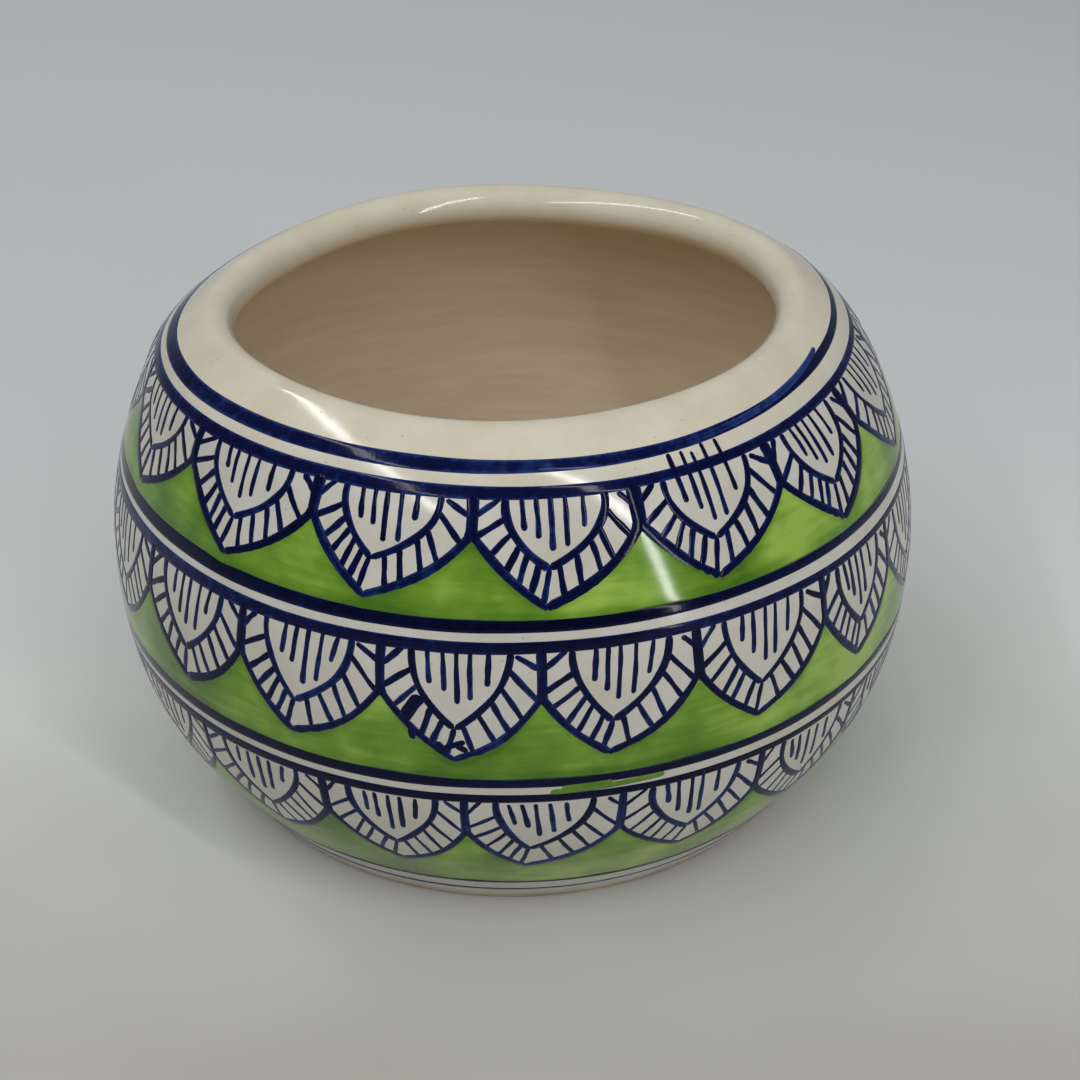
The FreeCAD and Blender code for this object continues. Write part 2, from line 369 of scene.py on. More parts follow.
def greenWash():
    # Copper green washed on with a wide brush under clear glaze: level streaks from the wheel's turn,
    # darker pools where the brush slowed, yellow-green where the cream shows through.
    material, tree, place = newMaterial("copperGreenWashUnderClearGlaze")
    edge = addNode(tree, "Attribute", attribute_name="ink")["Fac"]
    flat = wash["streakHeight"] / wash["streakLength"]
    squeezed = addNode(tree, "Mapping", {"Vector": place, "Scale": (flat, flat, 1.0)})["Vector"]
    streaks = noise(tree, squeezed, wash["streakHeight"], 3.0, 0.6, distortion=0.4)
    tone = noise(tree, place, wash["poolSize"], 3.0)
    for part, share in ((streaks, "streakShare"), (edge, "edgeShare")):
        tone = multiplyAdd(tree, part, wash[share], tone)
    colour = ramp(tree, tone, wash["tones"])
    glassySkin(tree, colour, wash["roughness"], streaks, wash)
    return material


# the material of each slot
materials = {"cream_glaze": glazedEarthenware(), "cobalt_paint": cobaltUnderGlaze(),
             "green_paint": greenWash()}
print("materials made")


# The pot itself

edges = {
    # inside the lip the buff glaze starts at this height, over a soft width; waves: size, order and phase
    "inside": 121.0, "insideSoft": 2.2, "insideWaves": [(0.35, 3, 1), (0.2, 7, 0)],
    # painted shade under the overhanging lip: inside, the buff grows more olive from this height on
    "shadeUnderLip": 94.0, "shadeUnderLipSoft": 24.0, "shadeUnderLipShare": 0.55,
    # below this height the foot is bare
    "bare": 2.4, "bareSoft": 0.8, "bareWaves": [(0.5, 2, 0), (0.35, 5, 2), (0.2, 11, 0)],
}


def slowWaves(angle, waves):
    # Σ size · sin(order · angle + phase)
    turn = np.radians(angle)
    return sum(size * np.sin(order * turn + phase) for size, order, phase in waves)


def potSection():
    # from the middle of the base: recess, foot ring, outer wall, lip, inner wall, floor
    footIn = pot["footRadius"] - pot["footRing"]
    recess = 1j * pot["footRecess"]
    stepTop, stepFoot, ringOut = footIn + recess, footIn + 0j, pot["footRadius"] + 0j
    underLip, underBelly = innerShoulder - lip, innerShoulder - belly
    lipOutSteps, lipTopSteps, lipInSteps = pot["lipSteps"]
    shoulderSteps, bellySteps, floorRoundSteps = pot["innerSteps"]
    return np.concatenate([
        np.linspace(recess, stepTop - pot["footSoftness"], pot["baseSteps"]),
        softCorner(recess, stepTop, stepFoot, pot["ringSoftness"])[1:],
        softCorner(stepTop, stepFoot, ringOut, pot["ringSoftness"]),
        softCorner(stepFoot, ringOut, taperTop, pot["footSoftness"]),
        outerWall(*pot["wallSteps"])[1:],
        roundPoints(lip, pot["lipRoll"], lip - shoulder, 1j, lipOutSteps)[1:],
        roundPoints(lip, pot["lipRoll"], 1j, -1, lipTopSteps)[1:],
        roundPoints(lip, pot["lipRoll"], -1, underLip, lipInSteps)[1:],
        roundPoints(innerShoulder, pot["innerShoulder"], -underLip, underBelly, shoulderSteps)[1:],
        roundPoints(belly, innerBelly, underBelly, floorRound - belly, bellySteps)[1:],
        roundPoints(floorRound, pot["floorRound"], floorRound - belly, -1j, floorRoundSteps)[1:],
        np.linspace(floorRoundReach, 0, pot["floorSteps"])[1:] + 1j * pot["floorTop"]])


def makeClayPot():
    # the closed section turned about the axis, with one point at each end and a ring for every other point
    section = potSection()
    count, around = len(section), pot["anglesRound"]
    angle = np.arange(around) * 360 / around
    body = byHand(turned(angle[None, :], section[1:-1, None]))
    ends = [byHand(turned(0.0, end)) for end in (section[:1], section[-1:])]
    points = np.concatenate([ends[0], body.reshape(-1, 3), ends[1]])
    quads = 1 + gridFaces(count - 2, around)
    c = np.arange(around)
    nextC = (c + 1) % around
    bottom = np.stack([np.zeros(around, int), 1 + nextC, 1 + c], -1)
    last = 1 + (count - 3) * around
    top = np.stack([last + c, last + nextC, np.full(around, len(points) - 1)], -1)
    faces = quads.tolist() + bottom.tolist() + top.tolist()

    # where the cream glaze gives way to the buff one, and where the foot is left bare
    inner = (np.arange(count) >= np.argmax(section.imag))[:, None]
    height = section.imag[:, None]
    insideEdge = edges["inside"] + slowWaves(angle, edges["insideWaves"])
    bareEdge = edges["bare"] + slowWaves(angle, edges["bareWaves"])
    inside = smoothStep((insideEdge - height) / edges["insideSoft"]) * inner
    # painted shade inside: the olive grows from the given height up to the overhanging lip
    shadeUnderLip = smoothStep((height - edges["shadeUnderLip"]) / edges["shadeUnderLipSoft"]) * inner
    bare = smoothStep((bareEdge - height) / edges["bareSoft"]) * ~inner

    def perPoint(values):
        values = np.broadcast_to(values, (count, around))
        return np.concatenate([values[0, :1], values[1:-1].ravel(), values[-1, :1]])

    makePiece("thrownPot", points, faces, "cream_glaze",
              {"inside": perPoint(inside), "shadeUnderLip": perPoint(shadeUnderLip * edges["shadeUnderLipShare"]),
               "bare": perPoint(bare)}, ["clay_body"])


makeClayPot()


# Painted lines

lineRelief = {
    # a low cushion across the wall: places across, as shares of the half width, their lift and their ink
    "across": [-1, -0.86, -0.45, 0.45, 0.86, 1, 0], "lift": [0, 0.06, 0.06, 0.06, 0.06, 0, -0.12],
    "ink": [0.1, 0.5, 0.75, 0.75, 0.5, 0.1, 0.5], "anglesRound": 480,
    # slow sines that make the line's place, width and ink wander
    "waveOrders": [1, 2, 3, 5, 8, 13, 21], "waveSizes": [0.625, 0.375, 0.3125, 0.25, 0.1875, 0.1875, 0.125],
    "widthWander": 0.6, "inkWander": 1.2,
    # the brush ran full at the left and lighter round the right: width where full, share lost, full angle
    "fullest": 1.45, "thinning": 0.76, "fullAngle": -75.0,
}
# each line's bottom and top, how far it wanders, and how much paler its ink is
paintedLines = {
    "lip_line_upper": (120.3, 122.0, 0.14, 0.16), "lip_line_lower": (116.1, 118.0, 0.14, 0.16),
    "shoulder_line_upper": (90.35, 92.8, 0.16, 0.0), "shoulder_line_lower": (85.8, 88.1, 0.16, 0.0),
    "belly_line_upper": (51.8, 54.3, 0.16, 0.0), "belly_line_lower": (47.4, 49.5, 0.16, 0.0),
    "foot_line_upper": (10.8, 11.65, 0.14, 0.0), "foot_line_lower": (5.9, 6.75, 0.14, 0.0),
}


def makeLine(name, bottom, top, wanders, paler):
    # along ± half width across the wall, edges wandering as sums of slow sines,
    # half width · (fullest − thinning · (1 − cos(angle − full angle)) / 2)
    angle = np.arange(lineRelief["anglesRound"]) * 360 / lineRelief["anglesRound"]
    turn = np.radians(angle)
    orders, sizes = np.array(lineRelief["waveOrders"]), np.array(lineRelief["waveSizes"])
    phases = chance.uniform(0, fullTurn, (3, len(orders)))
    sines = (sizes * np.sin(orders * turn[:, None, None] + phases)).sum(-1) * wanders
    placeWander, widthWander, inkWander = sines.T
    low, high = alongAt(bottom), alongAt(top)
    middle = (low + high) / 2 + placeWander
    lighter = 0.5 - 0.5 * np.cos(turn - np.radians(lineRelief["fullAngle"]))
    half = (high - low) / 2 + widthWander * lineRelief["widthWander"]
    half = half * (lineRelief["fullest"] - lineRelief["thinning"] * lighter)
    # seen from outside the ring runs from its lower edge up over the top and back underneath
    along = middle[:, None] - np.array(lineRelief["across"]) * half[:, None]
    points = onWall(angle[:, None], along, np.array(lineRelief["lift"]))
    faces = gridFaces(*along.shape, closeRows=True)
    ink = np.array(lineRelief["ink"]) + inkWander[:, None] * lineRelief["inkWander"] - paler
    makePiece(name + "_paint", points, faces.tolist(), "cobalt_paint", {"ink": ink}, [name])


for lineName, lineSettings in paintedLines.items():
    makeLine(lineName, *lineSettings)


# Petal rows

# Angles of the petals' tips in front were read off the photograph, the rest are spaced evenly behind.
# Sides bow outwards: "bow" is the share that falls straight and the power of the rest, left and right.
# "overreach" is how far a petal's strokes start above the line, where the brush was careless.
petalRows = {
    "upper": {"line": 116.1, "parting": 109.0, "tip": 95.4, "innerTip": 103.2, "petals": 15,
              "frontTips": [-66, -42, -19.5, 5, 29, 53], "frontPartings": [-53, -28.5, -5, 18.5, 42.5],
              "bow": ((0.82, 3), (0.62, 3)), "stemWidth": 1.2, "tickWidth": 1.0, "inkShift": 0.0,
              "strokeStart": 0.4, "overreach": {4: 4.2, 5: 1.2}, "fieldBottom": 92.6},
    "middle": {"line": 85.8, "parting": 75.5, "tip": 60.2, "innerTip": 68.4, "petals": 18,
               "frontTips": [-48, -29, -7.2, 12.3, 33.5, 53.5],
               "frontPartings": [-37, -16.3, 4, 24.5, 45.5],
               "bow": ((0.74, 3), (0.46, 3)), "stemWidth": 0.85, "tickWidth": 0.95, "inkShift": -0.04,
               "strokeStart": 0.4, "overreach": {}, "fieldBottom": 54.1},
    "lower": {"line": 47.4, "parting": 36.8, "tip": 22.6, "innerTip": 30.5, "petals": 18,
              "frontTips": [-36, -16.2, 1.6, 24.8], "frontPartings": [-25.5, -6, 14.6],
              "bow": ((0.74, 3), (0.46, 3)), "stemWidth": 0.7, "tickWidth": 0.74, "inkShift": -0.14,
              "strokeStart": -0.5, "overreach": {3: 3.2}, "fieldBottom": 11.5},
}
drawing = {
    "outerHalfWidth": 1.06, "innerHalfWidth": 0.84, "tickHalfWidth": 0.73, "strokeHalfWidth": 0.62,
    "tipWidth": 1.06, "stemOffset": 0.28,
    # lift of each kind of stroke; the right side's outlines lie a little over the left's
    "relief": 0.07, "outerRelief": 1.3, "innerRelief": 1.1, "sideRelief": 0.1, "tickRelief": 0.8,
    # both outlines run a little past their ends, as shares of their height
    "outerReach": (-0.03, 1.015), "innerReach": (-0.02, 1.01),
    # ticks between the outlines: where they meet the outer and the inner one, as shares of the way down
    "ticksLeft": [(0.16, -0.03), (0.35, 0.25), (0.52, 0.45), (0.66, 0.60), (0.77, 0.735), (0.865, 0.88),
                  (0.965, 1.0)],
    "ticksRight": [(0.15, 0.02), (0.43, 0.195), (0.605, 0.43), (0.73, 0.59), (0.825, 0.775), (0.92, 0.91)],
    "firstTickReach": (0.5, 0.85), "tickLimits": (-0.03, 1),
    # inner outline, left and right: cubic curve from the line to the inner tip, as shares across and down
    "innerLeft": [(-0.61, 0.0), (-0.64, 0.36), (-0.42, 0.70)],
    "innerRight": [(0.62, 0.0), (0.62, 0.36), (0.36, 0.70)], "innerTipLean": 0.72,
    # five strokes hang from the line: places across and depths, how far they close in on the middle, and
    # their share of the half width at the line and at the foot
    "strokeAcross": [-0.39, -0.22, -0.05, 0.13, 0.35], "strokeDown": [0.38, 0.52, 0.71, 0.65, 0.38],
    "strokeClosing": 0.06, "strokeWidths": (0.85, 1.1),
    # chance either way: tips and partings in degrees and millimetres, places as shares, lean in degrees
    "tipAngleChance": 0.8, "tipHeightChance": 0.7, "partingHeightChance": 0.6, "placeChance": 0.018,
    "depthChance": (-0.05, 0.06), "overreachChance": (0.4, 1.0), "leanChance": 0.9,
    "widthChance": (0.9, 1.12), "reliefChance": (0.85, 1.15), "widthWander": 0.09,
    # sideways wander of each kind of stroke, and the share of it up and down
    "outerWander": 0.12, "innerWander": 0.1, "tickWander": 0.06, "strokeWander": 0.05, "heightWander": 0.6,
    # points along an outline, a tick and a stroke, and along the curves that the outlines are read from
    "samples": (19, 13, 15), "outerSteps": 60, "innerSteps": 80, "innerFrom": -0.05, "washSteps": 50,
}
brush = {
    # six points round a low cushion: places across, lift and ink; the last lies under the wall
    "across": [-1, -0.68, 0, 0.68, 1, 0], "lift": [0, 0.9, 1, 0.9, 0, -1.4],
    "ink": [0.3, 0.55, 0.75, 0.55, 0.3, 0.4],
    # each stroke's load of ink, and how much it has dried from start to end, either way
    "load": (-0.12, 0.15), "drying": 0.08, "bluntEnd": 0.03,
    # a stroke's first points as shares of it, and its last ones alike, so that the ends come out round
    "nearEnd": [0, 0.012, 0.04],
}


def brushStrokes(angle, height, halfWidth, relief):
    # each stroke: a path of points on the wall, and at each a ring of points round a low cushion across it;
    # half width w · √(1 − (1 − d/w)²) at a distance d from an end, where that is less than w
    along = alongAt(height)
    radius = np.interp(along, wallAlong, wallTable.real)
    tangent = np.radians(np.gradient(angle, axis=1)) * radius + 1j * np.gradient(along, axis=1)
    tangent = tangent / np.maximum(abs(tangent), 1e-9)
    step = abs(np.radians(np.diff(angle, axis=1)) * radius[:, 1:] + 1j * np.diff(along, axis=1))
    run = np.concatenate([np.zeros((len(angle), 1)), np.cumsum(step, axis=1)], axis=1)
    toEnd = np.minimum(run, run[:, -1:] - run)
    taper = np.sqrt(np.clip(1 - (1 - np.minimum(toEnd / halfWidth, 1)) ** 2, brush["bluntEnd"], 1))
    width = (halfWidth * taper)[..., None]
    sideways = (tangent * -1j)[..., None]
    across = np.array(brush["across"])
    spotAngle = angle[..., None] + np.degrees(sideways.real * across * width / radius[..., None])
    spotAlong = along[..., None] + sideways.imag * across * width
    lift = np.reshape(relief, (-1, 1, 1)) * np.array(brush["lift"]) * np.sqrt(taper)[..., None]
    points = onWall(spotAngle, spotAlong, lift)

    strokes, samples = angle.shape
    around = len(across)
    starts = np.arange(strokes)[:, None] * samples * around
    quads = (gridFaces(samples, around)[None] + starts[..., None]).reshape(-1, 4)
    firstCap = np.arange(around)[::-1] + starts
    lastCap = np.arange(around) + (samples - 1) * around + starts
    load = chance.uniform(*brush["load"], (strokes, 1, 1))
    load = load + np.linspace(brush["drying"], -brush["drying"], samples)[None, :, None]
    ink = np.array(brush["ink"]) + load
    return points.reshape(-1, 3), quads.tolist() + firstCap.tolist() + lastCap.tolist(), ink.ravel()


def wander(count, samples, size, waves=2.0):
    # slow sines of unlike length along each stroke: size · (sin(half the waves) + sin(the waves) / 2)
    turn = fullTurn * waves * np.linspace(0, 1, samples)
    phases = chance.uniform(0, fullTurn, (count, 2, 1))
    return size * (np.sin(turn * 0.5 + phases[:, 0]) + 0.5 * np.sin(turn + phases[:, 1]))


def spread(samples):
    # places along a stroke, closer together at both ends
    near = np.array(brush["nearEnd"])
    even = np.linspace(near[-1], 1 - near[-1], samples - 2 * len(near) + 2)
    return np.concatenate([near, even[1:-1], 1 - near[::-1]])


def rowLayout(row):
    # angles and heights of the petals' tips and of the partings before and after each, with chance behind
    front, partings = np.array(row["frontTips"], float), np.array(row["frontPartings"], float)
    hidden = row["petals"] - len(front)
    back = np.linspace(front[-1], front[0] + 360, hidden + 2)[1:-1]
    back = back + chance.uniform(-1, 1, hidden) * drawing["tipAngleChance"]
    tip = np.concatenate([front, back])
    after = (tip + np.append(tip[1:], tip[0] + 360)) / 2
    after[:len(partings)] = partings
    before = np.roll(after, 1)
    before[0] -= 360
    tipHeight = row["tip"] + chance.uniform(-1, 1, len(tip)) * drawing["tipHeightChance"]
    afterHeight = row["parting"] + chance.uniform(-1, 1, len(tip)) * drawing["partingHeightChance"]
    return {"tip": tip, "tipHeight": tipHeight, "before": before, "beforeHeight": np.roll(afterHeight, 1),
            "after": after, "afterHeight": afterHeight}


def outerSide(row, layout, side, t):
    # height falls evenly with t; above the parting the side runs down the stem, below it the share u of the
    # way out from the tip answers height = tip + (parting − tip) · (c·u + (1 − c)·uⁿ)
    parting = "before" if side < 0 else "after"
    edge, edgeHeight = layout[parting], layout[parting + "Height"]
    tip, tipHeight = layout["tip"][:, None], layout["tipHeight"]
    c, power = row["bow"][0 if side < 0 else 1]
    height = row["line"] + (tipHeight[:, None] - row["line"]) * t
    share = np.clip((height - tipHeight[:, None]) / (edgeHeight - tipHeight)[:, None], 0, 1)
    u = np.linspace(0, 1, drawing["outerSteps"])
    out = np.interp(share, c * u + (1 - c) * u ** power, u)
    # a stem's two strokes lie side by side
    inset = np.degrees(drawing["stemOffset"] / radiusAt(edgeHeight))[:, None] * side
    return tip + (edge[:, None] - tip - inset) * out, height


def innerSide(row, layout, side, share):
    # cubic Bezier curve (1 − t)³·a + 3(1 − t)²t·b + 3(1 − t)t²·c + t³·d in shares across and down, with t
    # taken where the curve has come down by the share
    middle, half = (layout["before"] + layout["after"]) / 2, (layout["after"] - layout["before"]) / 2
    a, b, c = drawing["innerLeft" if side < 0 else "innerRight"]
    lean = (layout["tip"] - middle) * drawing["innerTipLean"] / half
    d = (lean, np.ones(len(lean)))
    t = np.linspace(drawing["innerFrom"], 1, drawing["innerSteps"])
    down = a[1] * (1 - t) ** 3 + 3 * b[1] * (1 - t) ** 2 * t + 3 * c[1] * (1 - t) * t ** 2 + t ** 3
    t = np.interp(share, down, t)
    weights = [(1 - t) ** 3, 3 * (1 - t) ** 2 * t, 3 * (1 - t) * t ** 2, t ** 3]
    across, down = [sum(w * np.reshape(corner[axis], (-1, 1)) for w, corner in zip(weights, (a, b, c, d)))
                    for axis in (0, 1)]
    innerTip = row["innerTip"] + (layout["tipHeight"] - row["tip"])[:, None]
    return middle[:, None] + half[:, None] * across, row["line"] + (innerTip - row["line"]) * down


def layStrokes(angle, height, halfWidth, relief, size):
    # strokes with a hand's wander in place and width, each a little wider or narrower, higher or lower
    count, samples = angle.shape
    radius = radiusAt(height)
    angle = angle + np.degrees(wander(count, samples, size) / radius)
    height = height + wander(count, samples, size) * drawing["heightWander"]
    width = halfWidth * (1 + wander(count, samples, drawing["widthWander"], waves=3.0))
    width = width * chance.uniform(*drawing["widthChance"], (count, 1))
    return brushStrokes(angle, height, width, relief * chance.uniform(*drawing["reliefChance"], count))


def joinStrokes(sets):
    # sets of strokes as one mesh: each set's corner numbers count on from the points before it
    points, faces, ink = [], [], []
    offset = 0
    for setPoints, setFaces, setInk in sets:
        points.append(setPoints)
        faces += [[corner + offset for corner in face] for face in setFaces]
        ink.append(setInk)
        offset += len(setPoints)
    return np.concatenate(points), faces, np.concatenate(ink)


def makePetalRow(rowName, row):
    layout = rowLayout(row)
    count = len(layout["tip"])
    relief = drawing["relief"]
    long, short, hanging = [spread(samples) for samples in drawing["samples"]]
    sets = []
    for side in (-1, 1):
        start, end = drawing["outerReach"]
        t = np.broadcast_to(start + (end - start) * long, (count, len(long)))
        halfWidth = drawing["outerHalfWidth"] * (row["stemWidth"] * (1 - t) + drawing["tipWidth"] * t)
        lift = relief * (drawing["outerRelief"] + drawing["sideRelief"] * side)
        sets.append(layStrokes(*outerSide(row, layout, side, t), halfWidth, lift, drawing["outerWander"]))
        start, end = drawing["innerReach"]
        lift = relief * (drawing["innerRelief"] + drawing["sideRelief"] * side)
        sets.append(layStrokes(*innerSide(row, layout, side, start + (end - start) * long),
                               drawing["innerHalfWidth"], lift, drawing["innerWander"]))
        ticks = drawing["ticksLeft" if side < 0 else "ticksRight"]
        for order, (outerShare, innerShare) in enumerate(ticks):
            jitter = chance.uniform(-1, 1, (2, count, 1)) * drawing["placeChance"]
            outer = outerSide(row, layout, side, outerShare + jitter[0])
            inner = innerSide(row, layout, side, np.clip(innerShare + jitter[1], *drawing["tickLimits"]))
            if order == 0:  # the first one starts short of the inner outline
                reach = chance.uniform(*drawing["firstTickReach"], (count, 1))
                inner = (outer[0] + (inner[0] - outer[0]) * reach, inner[1])
            angle, height = [a + (b - a) * short for a, b in zip(inner, outer)]
            sets.append(layStrokes(angle, height, drawing["tickHalfWidth"] * row["tickWidth"],
                                   relief * drawing["tickRelief"], drawing["tickWander"]))

    # the strokes inside a petal lean together
    middle = (layout["before"] + layout["after"])[:, None] / 2
    half = (layout["after"] - layout["before"])[:, None] / 2
    lean = chance.uniform(-1, 1, (count, 1)) * drawing["leanChance"]
    overreach = np.array([row["overreach"].get(petal, 0.0) for petal in range(count)])[:, None]
    depth = row["line"] - row["innerTip"]
    start, end = drawing["strokeWidths"]
    halfWidth = drawing["strokeHalfWidth"] * (start + (end - start) * hanging)
    for across, down in zip(drawing["strokeAcross"], drawing["strokeDown"]):
        foot = middle + half * (across + chance.uniform(-1, 1, (count, 1)) * drawing["placeChance"])
        low = row["line"] - depth * (down + chance.uniform(*drawing["depthChance"], (count, 1)))
        over = overreach * chance.uniform(*drawing["overreachChance"], (count, 1))
        high = row["line"] + row["strokeStart"] + over
        height = high + (low - high) * hanging
        angle = foot + lean * (1 - hanging) + (middle - foot) * drawing["strokeClosing"] * hanging
        sets.append(layStrokes(angle, height, halfWidth, relief, drawing["strokeWander"]))

    points, faces, ink = joinStrokes(sets)
    makePiece("petal_strokes_" + rowName, points, faces, "cobalt_paint", {"ink": ink + row["inkShift"]})
    return layout


def washTop(row, layout, angle):
    # height of the petals' outer sides at each angle round the pot, straight across a stem
    top = np.full(len(angle), np.nan)
    steps = drawing["washSteps"]
    t = np.broadcast_to(np.linspace(0, 1, steps), (len(layout["tip"]), steps))
    for side, parting in ((-1, "beforeHeight"), (1, "afterHeight")):
        for sideAngle, sideHeight, start in zip(*outerSide(row, layout, side, t), layout[parting]):
            below = sideHeight <= start + wash["upStem"]
            order = np.argsort(sideAngle[below])
            sideAngle, sideHeight = sideAngle[below][order], sideHeight[below][order]
            for turn in (-360, 0, 360):
                inside = (angle >= sideAngle[0] + turn) & (angle <= sideAngle[-1] + turn)
                top[inside] = np.interp(angle[inside], sideAngle + turn, sideHeight)
    empty = np.isnan(top)
    top[empty] = np.interp(angle[empty], angle[~empty], top[~empty])
    return top


def makeGreenWash(rowName, row, layout):
    # a thin closed sheet between the petals' outer sides and the line below; its ink is the distance from
    # its edge over the edge's width, plus fuller · sin(angle): paler at the right
    angle = layout["tip"][0] + np.arange(wash["anglesRound"]) * 360 / wash["anglesRound"]
    # down the front of the sheet, thin at both edges, and up its back
    edge, edgeLift = np.array(wash["edgeDown"]), np.array(wash["edgeLift"])
    front, back = np.linspace(*wash["front"]), np.linspace(*wash["back"])
    down = np.concatenate([edge, front, 1 - edge[::-1], back])
    raised = wash["relief"] * np.concatenate([edgeLift, np.ones(len(front)), edgeLift[::-1]])
    lift = np.append(raised, np.full(len(back), -wash["sunk"]))
    high, low = alongAt(washTop(row, layout, angle))[:, None], alongAt(row["fieldBottom"])
    points = onWall(angle[:, None], high + (low - high) * down, lift)
    edgeness = np.clip(np.minimum(down, 1 - down) * (high - low) / wash["edgeWidth"], 0, 1)
    ink = edgeness + wash["fuller"] * np.sin(np.radians(angle))[:, None]
    faces = gridFaces(len(angle), len(down), closeRows=True)
    field = "green_field_" + rowName
    makePiece(field + "_wash", points, faces.tolist(), "green_paint", {"ink": ink}, [field])


for rowName, row in petalRows.items():
    makeGreenWash(rowName, row, makePetalRow(rowName, row))


# Slips of the brush

# where the brush came round again, the lip's line ends in a second, paler stroke that leaves it upwards
lipTail = {"angles": (24.0, 70.0), "heights": (121.1, 122.4), "halfWidth": 0.95, "endWidth": 0.6,
           "fuller": 1.9, "relief": 0.09, "paler": 0.3, "palerFrom": 1 / 3, "samples": 24}


def makeLipTail():
    # one stroke: the angle runs evenly, the height rises with the cube of the way t along, the half width
    # is w · (end width + fuller · t · (1 − t)), and the ink grows paler over the first third
    t = spread(lipTail["samples"])
    (firstAngle, lastAngle), (firstHeight, lastHeight) = lipTail["angles"], lipTail["heights"]
    angle = firstAngle + (lastAngle - firstAngle) * t
    height = firstHeight + (lastHeight - firstHeight) * t ** 3
    halfWidth = lipTail["halfWidth"] * (lipTail["endWidth"] + lipTail["fuller"] * t * (1 - t))
    points, faces, ink = brushStrokes(angle[None], height[None], halfWidth[None], lipTail["relief"])
    paler = lipTail["paler"] * np.minimum(t / lipTail["palerFrom"], 1)
    makePiece("lip_line_tail", points, faces, "cobalt_paint",
              {"ink": ink.reshape(len(t), -1) - paler[:, None]})


makeLipTail()

# seen in front: a thick tick and blots on one petal of the middle row, and green that ran between the
# belly's lines; each stroke has its start's angle and height, its end's, and its half width
brushSlips = {
    "blotted_tick": {
        "strokes": [(-11.3, 75.4, -13.3, 69.8, 1.4), (-12.5, 67.0, -12.1, 64.3, 0.95),
                    (-9.2, 64.2, -8.1, 61.4, 0.9), (-8.3, 62.6, -5.6, 64.6, 0.75),
                    (-6.8, 63.6, -5.3, 62.0, 0.8)],
        "slot": "cobalt_paint", "relief": 0.12, "samples": 14},
    "belly_green_slip": {
        "strokes": [(5.0, 50.2, 20.0, 51.3, 0.85), (6.5, 51.5, 13.0, 51.9, 0.7)],
        "slot": "green_paint", "relief": 0.12, "samples": 14},
}


def makeBrushSlip(name, slip):
    # each stroke is straight in angle and height
    startAngle, startHeight, endAngle, endHeight, halfWidth = np.array(slip["strokes"]).T[:, :, None]
    t = spread(slip["samples"])[None]
    angle, height = startAngle + (endAngle - startAngle) * t, startHeight + (endHeight - startHeight) * t
    points, faces, ink = brushStrokes(angle, height, halfWidth, slip["relief"])
    makePiece(name, points, faces, slip["slot"], {"ink": ink})


for slipName, slipSettings in brushSlips.items():
    makeBrushSlip(slipName, slipSettings)
print("painted rows made")


# Table, backdrop, light and camera

studio = {
    # one sheet of matt paper, its wall well behind, so that the pot can be looked at from all round
    "bendStart": 1300.0, "bendRadius": 300.0, "wallTop": 2500.0, "front": -2500.0, "halfWidth": 2600.0,
    "floorSteps": 12, "bendSteps": 25, "acrossSteps": 9,
    # its colour turns on the floor already, where the photograph shows a duller front, a paler middle and
    # the wall: ramp from one depth to the other, with faint clouds; the duller front is painted shade and
    # the paler middle painted light on a sheet of one colour
    "tones": [(0.1, "ABAAA2"), (0.42, "D4D6D4"), (0.86, "CACED0")], "turnStart": -130.0, "turnEnd": 360.0,
    "cloudsPerMetre": 6.0, "cloudShare": 0.25, "roughness": 0.8,
    # the room's light on the pot, and how bright it looks to the camera past the floor's edge
    "roomColour": "F4F6FA", "worldStrength": 0.2, "worldSeen": 0.48,
}


def mattPaper():
    material, tree, place = newMaterial("mattPaperSweep")
    depth = addNode(tree, "SeparateXYZ", {"Vector": place})["Y"]
    # painted light and shade: by depth, the paper's tone runs from duller at the front to paler in the
    # middle and the wall
    rise = mapRange(tree, depth, studio["turnStart"] * mm, studio["turnEnd"] * mm)
    cloud = addNode(tree, "TexNoise", {"Vector": place, "Scale": studio["cloudsPerMetre"],
                                       "Detail": 3.0})["Fac"]
    tone = multiplyAdd(tree, cloud, studio["cloudShare"], rise)
    colour = ramp(tree, tone, studio["tones"])
    shader = addNode(tree, "BsdfPrincipled", {"Base Color": colour,
                                              "Roughness": studio["roughness"]})["BSDF"]
    addNode(tree, "OutputMaterial", {"Surface": shader})
    return material


def makeBackdrop():
    # floor line, quarter round and wall, carried sideways as one sheet
    start, bend = studio["bendStart"], studio["bendRadius"]
    turn = np.linspace(0, np.pi / 2, studio["bendSteps"])[1:]
    floor = np.linspace(studio["front"], start, studio["floorSteps"])
    y = np.concatenate([floor, start + bend * np.sin(turn), [start + bend]])
    z = np.concatenate([np.zeros(len(floor)), bend * (1 - np.cos(turn)), [studio["wallTop"]]])
    x = np.linspace(-studio["halfWidth"], studio["halfWidth"], studio["acrossSteps"])
    points = np.stack(np.broadcast_arrays(x[None, :], y[:, None], z[:, None]), -1)
    faces = gridFaces(len(y), len(x), closeColumns=False)
    meshObject("studioSweep", points, faces.tolist(), mattPaper())


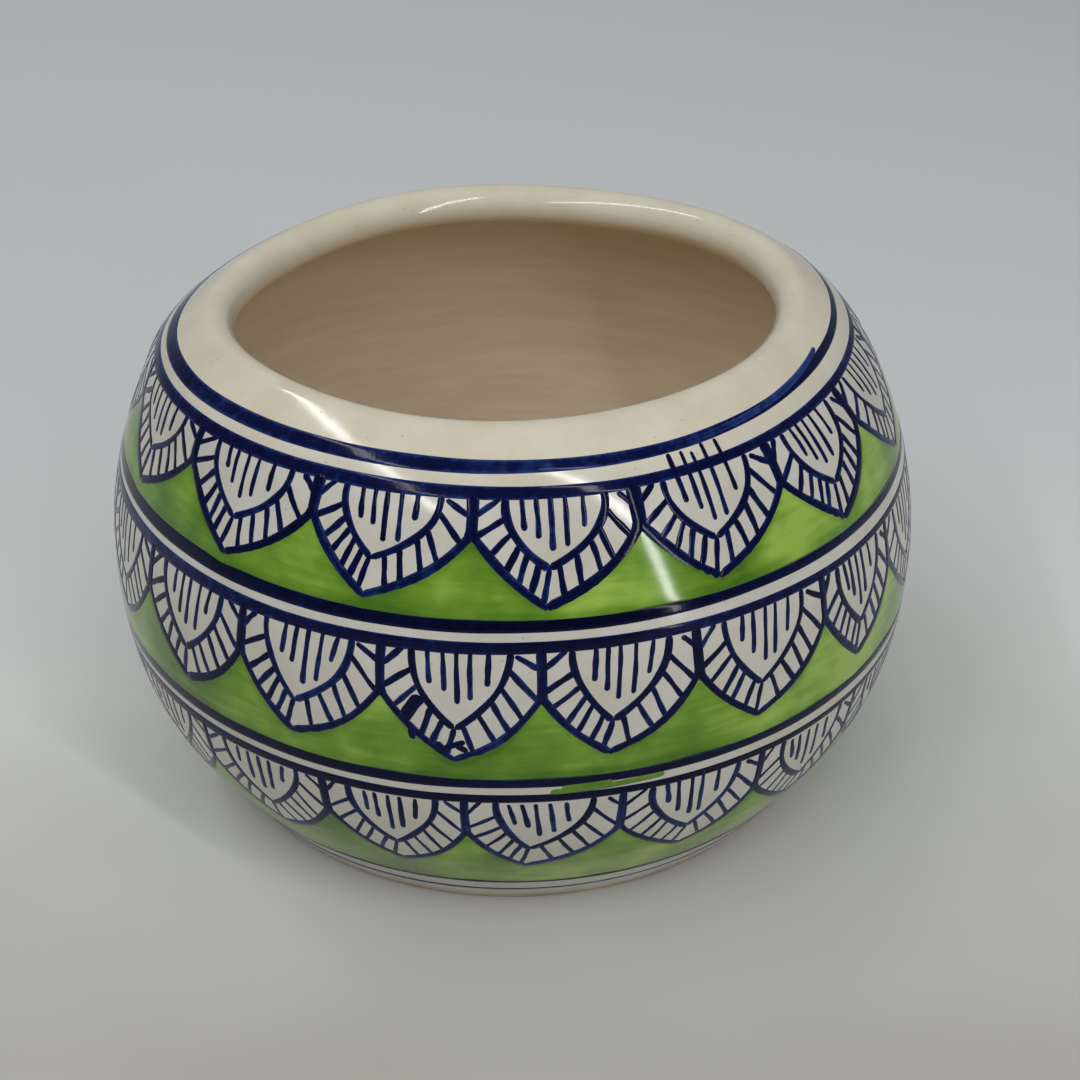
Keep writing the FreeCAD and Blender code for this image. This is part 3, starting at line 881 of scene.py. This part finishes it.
# the two wide soft lights leave no mirror image in the glaze; the tube and the
# doorway are the narrow bright things that the glaze shows
lamps = {
    "paleCeiling": {"place": (-300, -500, 1700), "target": (-300, -499, 0), "up": (0, 1, 0),
                    "size": (4200, 3200), "watts": 16.5, "colour": "FFFDF8", "mirrored": False},
    "softFrontHigh": {"place": (-200, -1150, 1350), "target": (0, 0, 60), "up": (0, 1, 0),
                      "size": (1600, 1200), "watts": 5.6, "colour": "FFFFFF", "mirrored": False},
    "longTubeLeft": {"place": (-830, -350, 1500), "target": (0, 0, 60), "up": (0, 1, 0),
                     "size": (80, 2600), "watts": 9.5, "colour": "FFFFFF", "mirrored": True},
    "narrowDoorwayRight": {"place": (520, -760, 640), "target": (0, 0, 60), "up": (-0.28, 0, 1),
                           "size": (46, 1450), "watts": 4.2, "colour": "FFFFFF", "mirrored": True},
}


def facing(side, up, back, place):
    # a frame of three directions at a place, for a lamp or camera, which looks along −back
    matrix = np.eye(4)
    matrix[:3] = np.stack([side, up, back, np.array(place) * mm], axis=1)
    return Matrix(matrix.tolist())


def makeLamp(name, lamp):
    # a flat soft light at a place, looking at its target
    data = bpy.data.lights.new(name, "AREA")
    data.shape = "RECTANGLE"
    data.size, data.size_y = lamp["size"][0] * mm, lamp["size"][1] * mm
    data.energy, data.color = lamp["watts"], toLinear(lamp["colour"])[:3]
    lampObject = bpy.data.objects.new(name, data)
    lampObject.visible_glossy = lamp["mirrored"]
    bpy.context.scene.collection.objects.link(lampObject)
    back = np.subtract(lamp["place"], lamp["target"])
    back = back / np.linalg.norm(back)
    side = np.cross(lamp["up"], back)
    side = side / np.linalg.norm(side)
    lampObject.matrix_world = facing(side, np.cross(back, side), back, lamp["place"])


# fitted to the painted lines: 31° down, a trace of roll, and a long lens, whose focal length is
# given in pixels of the photograph's width
cameraView = {"place": (6.7, -483.7, 347.1), "pitch": 31.09, "roll": -0.35, "focalPixels": 2200,
              "photoPixels": 1080, "sensor": 36, "near": 0.01, "far": 20}


def makeCamera():
    pitch, roll = np.radians(cameraView["pitch"]), np.radians(cameraView["roll"])
    right = np.array([1.0, 0, 0])
    back = np.array([0, -np.cos(pitch), np.sin(pitch)])
    up = np.array([0, np.sin(pitch), np.cos(pitch)])
    data = bpy.data.cameras.new("photographView")
    data.sensor_width, data.sensor_fit = cameraView["sensor"], "HORIZONTAL"
    data.lens = cameraView["focalPixels"] / cameraView["photoPixels"] * cameraView["sensor"]
    data.clip_start, data.clip_end = cameraView["near"], cameraView["far"]
    camera = bpy.data.objects.new("photographView", data)
    bpy.context.scene.collection.objects.link(camera)
    camera.matrix_world = facing(np.cos(roll) * right + np.sin(roll) * up,
                                 np.cos(roll) * up - np.sin(roll) * right, back, cameraView["place"])
    bpy.context.scene.camera = camera


def makeRoom():
    # a weak even light from all round, which the camera sees at a brightness of its own
    world = bpy.data.worlds.new("paleRoom")
    bpy.context.scene.world = world
    world.use_nodes = True
    tree = world.node_tree
    tree.nodes.clear()
    lit, seen = [addNode(tree, "Background", {"Color": toLinear(studio["roomColour"]),
                                              "Strength": strength})["Background"]
                 for strength in (studio["worldStrength"], studio["worldSeen"])]
    toCamera = addNode(tree, "LightPath")["Is Camera Ray"]
    room = addNode(tree, "MixShader", {0: toCamera, 1: lit, 2: seen})["Shader"]
    addNode(tree, "OutputWorld", {"Surface": room})


makeBackdrop()
for lampName, lampSettings in lamps.items():
    makeLamp(lampName, lampSettings)
makeCamera()
makeRoom()
bpy.context.scene.view_settings.view_transform = "Standard"
print("studio made")
